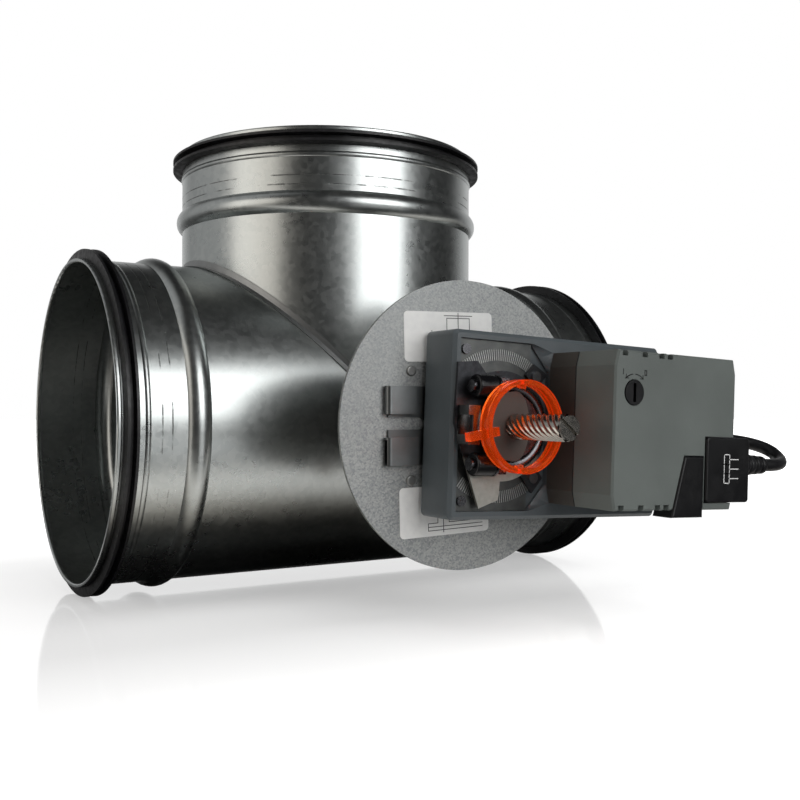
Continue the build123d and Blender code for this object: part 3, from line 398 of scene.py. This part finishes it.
def housing(name, colour, rough, joint=True):
    """Textured grey housing plastic with a dark joint between its halves."""
    joint_depth = 178.0 * MM
    joint_half = 0.18 * MM
    joint_edge = 0.4 * MM
    joint_dark = (0.01, 0.01, 0.012)
    m = Surface(name)
    tone = m.mix(m.patches(scale=26, detail=4), toned(colour, 0.88), toned(colour, 1.1))
    grain = m.bump(m.noise(scale=2200, detail=2), distance=0.00004)
    if joint:
        near = m.math("ABSOLUTE", m.math("ADD", m.axis("Y"), joint_depth))
        line = m.fall(near, joint_half, joint_edge)
        tone = m.mix(line, tone, joint_dark)
        grain = m.bump(m.math("SUBTRACT", 1.0, line), distance=0.0003, after=grain)
    m.colour(tone)
    m.normal(grain)
    m.roughness(m.patches(scale=300, detail=4, low=rough - 0.06, high=rough + 0.07))


# Colour and roughness of the plain materials
plastics = {
    "black_nut": ((0.004, 0.004, 0.005), 0.2),
    "black_plastic": ((0.005, 0.005, 0.006), 0.4),
    "bearing_plastic": ((0.03, 0.03, 0.033), 0.5),
    "cap_plastic": ((0.075, 0.065, 0.056), 0.6),
    "gear_plastic": ((0.8, 0.77, 0.68), 0.45),
    "stop_plastic": ((0.012, 0.013, 0.015), 0.4),
    "terminal_plastic": ((0.2, 0.21, 0.22), 0.5),
    "board_plastic": ((0.03, 0.16, 0.06), 0.35),
    "core_plastic": ((0.22, 0.09, 0.035), 0.35),
    "tie_plastic": ((0.02, 0.02, 0.022), 0.4),
    "print_dark": ((0.02, 0.02, 0.02), 0.5),
    "print_white": ((0.8, 0.8, 0.8), 0.5),
}
metals = {
    "bright_zinc": ((0.5, 0.505, 0.51), 0.34),
    "bracket_zinc": ((0.2, 0.21, 0.212), 0.4),
    "band_zinc": ((0.4, 0.41, 0.41), 0.42),
    "clamp_steel": ((0.14, 0.14, 0.15), 0.26),
    "hub_steel": ((0.12, 0.12, 0.125), 0.24),
    "rivet_metal": ((0.42, 0.42, 0.41), 0.38),
    "shaft_metal": ((0.46, 0.44, 0.4), 0.2),
    "spring_metal": ((0.2, 0.2, 0.2), 0.22),
    "screw_metal": ((0.7, 0.74, 0.8), 0.2),
    "motor_metal": ((0.6, 0.6, 0.58), 0.3),
}
rubbers = {
    "ring_rubber": ((0.006, 0.006, 0.007), 0.42),
    "cable_rubber": ((0.007, 0.007, 0.008), 0.4),
}
for make, rows in ((plastic, plastics), (metal, metals), (rubber, rubbers)):
    for name, (colour, rough) in rows.items():
        make(name, colour, rough)
galvanised("duct_run_zinc", "x")
galvanised("duct_branch_zinc", "z")
spangled_plate("plate_zinc")
paper_film("label_film")
ribbed_scale("scale_metal")
wing_metal("plate_metal")
clear_orange("ring_orange")
housing("housing_base", (0.085, 0.1, 0.108), 0.36, joint=False)
housing("housing_raised", (0.055, 0.05, 0.044), 0.42)
housing("housing_cover", (0.135, 0.152, 0.143), 0.4)

nodes_of_material = {
    "duct_run_zinc": ("run_duct",),
    "duct_branch_zinc": ("branch_duct",),
    "plate_zinc": ("stand_off", "mounting_plate"),
    "bracket_zinc": ("anti_rotation_bracket",),
    "band_zinc": ("saddle_band",),
    "bright_zinc": ("blade_lower_plate", "blade_upper_plate", "blade_bolts"),
    "clamp_steel": ("clamp_u_bolt", "clamp_jaw", "clamp_washers", "scale_screws"),
    "plate_metal": ("clamp_plate",),
    "rivet_metal": ("plate_rivets", "bracket_rivets"),
    "ring_rubber": ("inlet_seal", "outlet_seal", "branch_seal", "blade_seal"),
    "bearing_plastic": ("front_bearing", "front_wall_bush", "rear_wall_bush", "hub_bearing"),
    "shaft_metal": ("shaft", "gear_axle"),
    "spring_metal": ("retaining_ring", "clamp_spring_clip", "button_spring"),
    "label_film": ("upper_label", "lower_label"),
    "housing_base": ("actuator_base",),
    "housing_raised": ("motor_housing",),
    "housing_cover": ("actuator_cover",),
    "screw_metal": ("housing_screws", "end_stop_screws"),
    "scale_metal": ("scale_plate",),
    "stop_plastic": ("upper_end_stop", "lower_end_stop"),
    "hub_steel": ("output_hub",),
    "black_nut": ("clamp_nuts",),
    "cap_plastic": ("clamp_cap",),
    "ring_orange": ("indicator_ring",),
    "gear_plastic": ("reduction_gear", "motor_pinion"),
    "motor_metal": ("motor",),
    "board_plastic": ("circuit_board",),
    "black_plastic": ("direction_switch", "release_button", "terminal_cover"),
    "terminal_plastic": ("terminal_block",),
    "cable_rubber": ("lead_boot", "lead_cable", "lead_coil", "lead_tail"),
    "core_plastic": ("lead_cores",),
    "tie_plastic": ("coil_tie",),
}
for material_name, node_names in nodes_of_material.items():
    for node_name in node_names:
        slots = nodes[node_name].data.materials
        slots.clear()
        slots.append(materials[material_name])


# Pieces in mesh code
def mesh_piece(name, vertices, faces, material, body, smooth):
    mesh = bpy.data.meshes.new(name)
    mesh.from_pydata([tuple(v) for v in vertices], [], faces)
    mesh.materials.append(material)
    for face in mesh.polygons:
        face.use_smooth = smooth
    piece = bpy.data.objects.new(name, mesh)
    scene.collection.objects.link(piece)
    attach(piece, body)
    return piece


def turned(name, start, direction, side, profile, material, body, steps=48, twist=None):
    """A body of revolution: profile is (distance along, radius); twist changes the radius."""
    direction = direction.normalized()
    other = direction.cross(side)
    vertices = []
    for along, radius in profile:
        for step in range(steps):
            angle = 2 * pi * step / steps
            reach = radius if twist is None else radius + twist(along, angle)
            offset = side * (cos(angle) * reach) + other * (sin(angle) * reach)
            vertices.append(start + (direction * along + offset) * MM)
    faces = []
    for low in range(0, (len(profile) - 1) * steps, steps):
        high = low + steps
        for step in range(steps):
            after = (step + 1) % steps
            faces.append((low + step, low + after, high + after, high + step))
    return mesh_piece(name, vertices, faces, material, body, smooth=True)


def print_piece(name, lines, place, depth, width, material):
    """Printed linework: thin raised strips; place turns (a, b, depth) into a point."""
    thickness = 0.06
    vertices = []
    faces = []
    for line in lines:
        for (ax, ay), (bx, by) in zip(line, line[1:]):
            run = Vector((bx - ax, by - ay)).normalized() * width / 2
            across = Vector((-run.y, run.x))
            start = Vector((ax, ay)) - run
            end = Vector((bx, by)) + run
            first = len(vertices)
            for level in (depth, depth + thickness):
                for corner in (start + across, end + across, end - across, start - across):
                    vertices.append(place(*corner, level))
            top = tuple(first + i for i in (4, 5, 6, 7))
            faces.append(top)
            for i in range(4):
                j = (i + 1) % 4
                faces.append(tuple(first + k for k in (i, j, j + 4, i + 4)))
    return mesh_piece(name, vertices, faces, material, "damper", smooth=False)


def frame_line(left, low, right, high):
    """A closed rectangle as one line."""
    return [(left, low), (right, low), (right, high), (left, high), (left, low)]


# Camera, where the photograph was taken from
yaw = radians(31.582)
pitch = radians(0.338)
roll = radians(0.144)
camera_place = plain(-260.41, 8.5, 502.99)
focal_pixels = 999.2
frame_pixels = 800
sensor_width = 36
forward = Vector((sin(yaw) * cos(pitch), cos(yaw) * cos(pitch), sin(pitch)))
level = Vector((cos(yaw), -sin(yaw), 0))
upward = level.cross(forward)
right = level * cos(roll) + upward * sin(roll)
up = upward * cos(roll) - level * sin(roll)
camera_turn = Matrix((right, up, -forward)).transposed().to_4x4()
camera_data = bpy.data.cameras.new("camera")
camera_data.sensor_width = sensor_width
camera_data.lens = focal_pixels / frame_pixels * sensor_width
camera_data.clip_start = 0.01
camera = bpy.data.objects.new("camera", camera_data)
camera.matrix_world = Matrix.Translation(camera_place) @ camera_turn
scene.collection.objects.link(camera)
scene.camera = camera

# Lead: out of the boot, round, back behind the housing and wound on the neck
lead_radius = 3.0
lead_height = -13.6
lead_depth = 192.0
boot_root = 108.5
boot_end = 131.5
straight_end = 143.5
route = [tuple(leaning(u, lead_height, lead_depth) / MM) for u in (boot_end, straight_end)]
loop_points = [
    (152, -186.0, -17.5),
    (155, -177.5, -13),
    (150, -169.0, -9.5),
    (138, -160.0, -7.5),
    (122, -149.0, -5),
    (103, -137.0, 1),
    (83, -130.0, 10),
    (63, -126.5, 19),
    (44, -123.6, 26.2),
    (30, -123.6, 26.2),
]
route += [(TEE + x, y, z) for x, y, z in loop_points]
coil_reach = 27.45
coil_start = -123.85
coil_pitch = 6.05
coil_turns = 4
turn_steps = 12
first_turn = 90
for step in range(coil_turns * turn_steps + turn_steps // 4 + 1):
    angle = radians(first_turn + 360 * step / turn_steps)
    along = coil_start + coil_pitch * step / turn_steps
    route.append((TEE + coil_reach * cos(angle), along, coil_reach * sin(angle)))
tail_points = [(-26.8, -98.5, -14), (-26.6, -98.5, -30)]
route += [(TEE + x, y, z) for x, y, z in tail_points]
lead_curve = bpy.data.curves.new("lead", "CURVE")
lead_curve.dimensions = "3D"
lead_curve.bevel_depth = lead_radius * MM
lead_curve.bevel_resolution = 5
lead_curve.resolution_u = 8
lead_curve.use_fill_caps = True
spline = lead_curve.splines.new("NURBS")
spline.points.add(len(route) - 1)
for point, place in zip(spline.points, route):
    point.co = (*(Vector(place) * MM), 1)
spline.order_u = 3
spline.use_endpoint_u = True
lead = bpy.data.objects.new("lead", lead_curve)
lead_curve.materials.append(materials["cable_rubber"])
scene.collection.objects.link(lead)
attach(lead, "damper")
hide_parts("lead_cable", "lead_coil", "lead_tail")
tuple(Vector(route[0]) * MM)

# Ribbed strain relief over the tapered boot, as distance along and radius
boot_radius = 5.4
boot_rib_count = 5
first_boot_rib = 1.2
boot_rib_pitch = 4.3
boot_taper = 0.3  # from each rib to the next
groove_depth = 0.9
rib_corner = 0.1
rib_steps = (
    (0.0, groove_depth),
    (0.5, groove_depth),
    (0.8, rib_corner),
    (1.1, 0.0),
    (2.9, 0.0),
    (3.2, rib_corner),
    (3.5, groove_depth),
)
boot_lip = [(-0.4, boot_radius)]
boot_tip = [(22.6, 3.6), (23.0, 3.2), (23.0, 2.0)]
boot_profile = list(boot_lip)
for rib in range(boot_rib_count):
    foot = first_boot_rib + rib * boot_rib_pitch
    crest = boot_radius - boot_taper * rib
    boot_profile += [(foot + ahead, crest - inward) for ahead, inward in rib_steps]
boot_profile += boot_tip
boot_start = leaning(boot_root, lead_height, lead_depth)
boot = turned(
    "boot_ribs",
    boot_start,
    leaning(boot_end, lead_height, lead_depth) - boot_start,
    Vector((0, 0, 1)),
    boot_profile,
    materials["cable_rubber"],
    "damper",
)
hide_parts("lead_boot")

# Twisted ribs on the shaft's free end
shaft_rib_count = 9
shaft_rib_height = 0.5
shaft_rib_twist = 0.2  # radians in a millimetre
shaft_rib_foot = 0.35  # below the mean radius
shaft_radius = 5.35
shaft_ribs_start = 172.0
shaft_row_pitch = 0.4
shaft_row_count = 83


def helical_ribs(along, angle):
    """Rounded ribs that wind round the shaft."""
    wave = 0.5 + 0.5 * cos(shaft_rib_count * (angle - along * shaft_rib_twist))
    return shaft_rib_height * wave**1.5 - shaft_rib_foot


shaft_ribs = turned(
    "shaft_ribs",
    plain(0, 0, shaft_ribs_start),
    Vector((0, -1, 0)),
    Vector((1, 0, 0)),
    [(row * shaft_row_pitch, shaft_radius) for row in range(shaft_row_count)],
    materials["shaft_metal"],
    "blade",
    steps=12 * shaft_rib_count,
    twist=helical_ribs,
)

# Generic tee diagrams, printed on both labels
label_turn = radians(1.5)
label_face = 137.25


def on_label(x, z):
    """The way from a label's own directions, with their middle at x and z, into the frame."""

    def place(a, b, depth):
        return plain(
            x + a * cos(label_turn) - b * sin(label_turn),
            z + a * sin(label_turn) + b * cos(label_turn),
            depth,
        )

    return place


upper_diagram = [
    [(-8, 1.5), (-1.2, 1.5), (-1.2, 8.2), (11, 8.2), (11, 1.5), (21.5, 1.5)],
    [(-2.6, 9.3), (12.4, 9.3)],
    [(-8, -8.5), (21.5, -8.5)],
    [(-9.2, 2.6), (-9.2, -9.6)],
    [(4.9, 10.4), (4.9, -9.8)],
    [(-6, -3.5), (21.5, -3.5)],
    [(0.5, -7.2), (9.3, 0.2)],
]
upper_print = print_piece(
    "upper_label_print",
    upper_diagram,
    place=on_label(x=-10.0, z=39.2),
    depth=label_face,
    width=0.32,
    material=materials["print_dark"],
)

lower_diagram = [
    [(-9, -8.6), (-9, -5.4), (-4, -5.4), (-4, -2.2), (2, -2.2), (2, -5.4), (20, -5.4)],
    [(-9, -8.6), (20, -8.6)],
    [(-9, -7.0), (20, -7.0)],
    [(-1, -1.2), (-1, -9.6)],
]
lower_print = print_piece(
    "lower_label_print",
    lower_diagram,
    place=on_label(x=-12.0, z=-37.4),
    depth=label_face,
    width=0.3,
    material=materials["print_dark"],
)

# Two turning arrows above the direction switch, with a stroke and a square at their ends
cover_face = 202.0
switch_u = 37.6
switch_h = 15.8
arrow_radius = 7.6
arrow_spans = ((52, 86), (98, 132))
arrow_steps = 8
tip_turn = radians(50)
barb_rise = 1.5
barb_lean = 0.2
barb_run = 1.6
switch_lines = []
for low, high in arrow_spans:
    arc = []
    for step in range(arrow_steps + 1):
        angle = radians(low + (high - low) * step / arrow_steps)
        arc.append((switch_u + arrow_radius * cos(angle), switch_h + arrow_radius * sin(angle)))
    switch_lines.append(arc)
tip_h = switch_h + arrow_radius * sin(tip_turn)
for side in (-1, 1):
    tip_u = switch_u + side * arrow_radius * cos(tip_turn)
    upper_barb = (tip_u - side * barb_lean, tip_h + barb_rise)
    inner_barb = (tip_u - side * barb_run, tip_h)
    switch_lines.append([upper_barb, (tip_u, tip_h), inner_barb])
end_low = 23.2
end_high = 25.2
stroke_u = 31.2
switch_lines.append([(stroke_u, end_low), (stroke_u, end_high)])
switch_lines.append(frame_line(left=43.4, low=end_low, right=44.4, high=end_high))
switch_marks = print_piece(
    "switch_marks",
    switch_lines,
    place=leaning,
    depth=cover_face,
    width=0.38,
    material=materials["print_dark"],
)

# Three terminals with their wires, printed on the connection box
box_face = 203.2
terminal_size = 4.2
terminal_left = 92.0
terminal_right = 95.4
wire_end = 101.0
lowest_terminal = -21.5
box_lines = []
for terminal in range(3):
    low = lowest_terminal + terminal_size * terminal
    middle = low + terminal_size / 2
    box_lines.append(frame_line(terminal_left, low, terminal_right, low + terminal_size))
    box_lines.append([(terminal_right, middle), (wire_end, middle)])
box_marks = print_piece(
    "box_marks",
    box_lines,
    place=leaning,
    depth=box_face,
    width=0.4,
    material=materials["print_white"],
)

# Floor: white to the camera, with a painted shadow near the run where its glow for camera rays
# is lower. The metal mirrors a painted reflection of it: painted shade under the run, a painted
# warm lit strip beside it that also glows for glossy rays, and dark again farther off. Each
# edge is soft: it starts and ends at the given distances from the run's axis, in metres.
floor_reach = 6.0
floor_gap = 0.0004
floor_white = (0.93, 0.93, 0.93)
# Painted reflection tones: a painted warm lit strip beside the run, dark farther off, and
# painted shade under the run.
painted_lit_strip_tone = (0.8, 0.74, 0.66)
far_tone = (0.06, 0.06, 0.06)
painted_shade_tone = (0.02, 0.02, 0.02)
tone_inner_edge = (0.075, 0.1)
tone_outer_edge = (0.13, 0.22)
glow_inner_edge = (0.095, 0.125)
glow_outer_edge = (0.14, 0.21)
# Glow of the painted lit strip, for glossy rays.
painted_lit_strip_glow = 0.5
# Painted shadow: near the run the floor glows less for camera rays, rising to the clear glow
# farther off.
shadow_edge = (0.12, 0.42)
shadow_glow = 0.42
clear_glow = 1.1
white = Surface("floor_white")
white.set(Roughness=0.07, Emission_Color=(1, 1, 1, 1))
from_run = white.math("ABSOLUTE", white.axis("Y"))
outer_tone = white.mix(white.span(from_run, *tone_outer_edge), painted_lit_strip_tone, far_tone)
# Painted reflection tone for glossy rays, with painted shade under the run.
painted_reflection_tone = white.mix(white.span(from_run, *tone_inner_edge), painted_shade_tone, outer_tone)
mirrored = white.ray("Is Glossy Ray")
white.colour(white.mix(mirrored, floor_white, painted_reflection_tone))
direct = white.ray("Is Camera Ray")
# Painted shadow near the run in the camera-ray glow.
cleared = white.span(from_run, *shadow_edge, shadow_glow, clear_glow)
# Painted lit strip beside the run in the glossy-ray glow.
strip_start = white.span(from_run, *glow_inner_edge)
strip_end = white.span(from_run, *glow_outer_edge, painted_lit_strip_glow, 0.0)
strip = white.math("MULTIPLY", strip_start, strip_end)
glow = white.math("MULTIPLY_ADD", mirrored, strip, white.math("MULTIPLY", direct, cleared))
white.link(glow, white.shader.inputs["Emission Strength"])
floor_height = cad_box[0].z - floor_gap
floor_corners = [
    (x * floor_reach, y * floor_reach, floor_height)
    for x, y in ((-1, -1), (1, -1), (1, 1), (-1, 1))
]
floor_mesh = bpy.data.meshes.new("floor")
floor_mesh.from_pydata(floor_corners, [], [(0, 1, 2, 3)])
floor_mesh.materials.append(white.material)
floor = bpy.data.objects.new("floor", floor_mesh)
scene.collection.objects.link(floor)

# World: white to the camera and through glass. Metal mirrors a dim room with a pale wall
# behind the object and a dimmer one at its left rear. A wall's soft edges are given as parts
# of the outward direction.
view_x = 0.52
view_y = 0.85
back_wall_side = (0.5, 0.9)
back_wall_top = (0.35, 0.6)
side_wall_front = (-0.25, 0.05)
side_wall_right = (-0.45, -0.15)
back_wall_light = 0.75
side_wall_light = 0.36
room_light = 0.02
ambient_light = 0.2
world = bpy.data.worlds.new("studio")
scene.world = world
world.use_nodes = True
sky = Nodes(world.node_tree)
outward = sky.axes("Generated")
ahead = sky.math("MULTIPLY", outward["X"], view_x)
ahead = sky.math("MULTIPLY_ADD", outward["Y"], view_y, ahead)
behind = sky.span(ahead, *back_wall_side)
low_down = sky.fall(outward["Z"], *back_wall_top)
beside = sky.fall(outward["X"], *side_wall_right)
rearward = sky.span(outward["Y"], *side_wall_front)
back_wall = sky.math("MULTIPLY", sky.math("MULTIPLY", behind, low_down), back_wall_light)
side_wall = sky.math("MULTIPLY", sky.math("MULTIPLY", beside, rearward), side_wall_light)
room = sky.math("ADD", sky.math("MAXIMUM", back_wall, side_wall), room_light)
seen = sky.math("MAXIMUM", sky.ray("Is Camera Ray"), sky.ray("Is Transmission Ray"))
glossy = sky.ray("Is Glossy Ray")
dull = sky.math("SUBTRACT", 1.0, sky.math("MAXIMUM", seen, glossy))
strength = sky.math("MULTIPLY_ADD", dull, ambient_light, seen)
strength = sky.math("MULTIPLY_ADD", glossy, room, strength)
background = world.node_tree.nodes["Background"]
sky.link(strength, background.inputs["Strength"])
background.inputs["Color"].default_value = (1, 1, 1, 1)


def softbox(name, azimuth, elevation, distance, size, power, colour=(1, 1, 1), mirrored=True):
    """A lamp that faces the tee, from an azimuth in degrees right of the front."""
    width, height = size
    light = bpy.data.lights.new(name, "AREA")
    light.shape = "RECTANGLE"
    light.size = width
    light.size_y = height
    light.energy = power
    light.color = colour
    lamp = bpy.data.objects.new(name, light)
    a = radians(azimuth)
    e = radians(elevation)
    out = Vector((sin(a) * cos(e), -cos(a) * cos(e), sin(e)))
    facing = out.to_track_quat("Z", "Y").to_matrix().to_4x4()
    lamp.matrix_world = Matrix.Translation(plain(0, 0, 0) + out * distance) @ facing
    lamp.visible_glossy = mirrored
    scene.collection.objects.link(lamp)


warm = (1.0, 0.93, 0.85)
softbox("key", azimuth=13, elevation=19, distance=1.4, size=(0.9, 0.84), power=7.6)
softbox(
    "side_fill",
    azimuth=-82,
    elevation=14,
    distance=1.4,
    size=(1.0, 1.0),
    power=3.4,
    colour=warm,
)
softbox(
    "top_fill",
    azimuth=20,
    elevation=72,
    distance=1.6,
    size=(0.9, 0.9),
    power=6.0,
    mirrored=False,
)
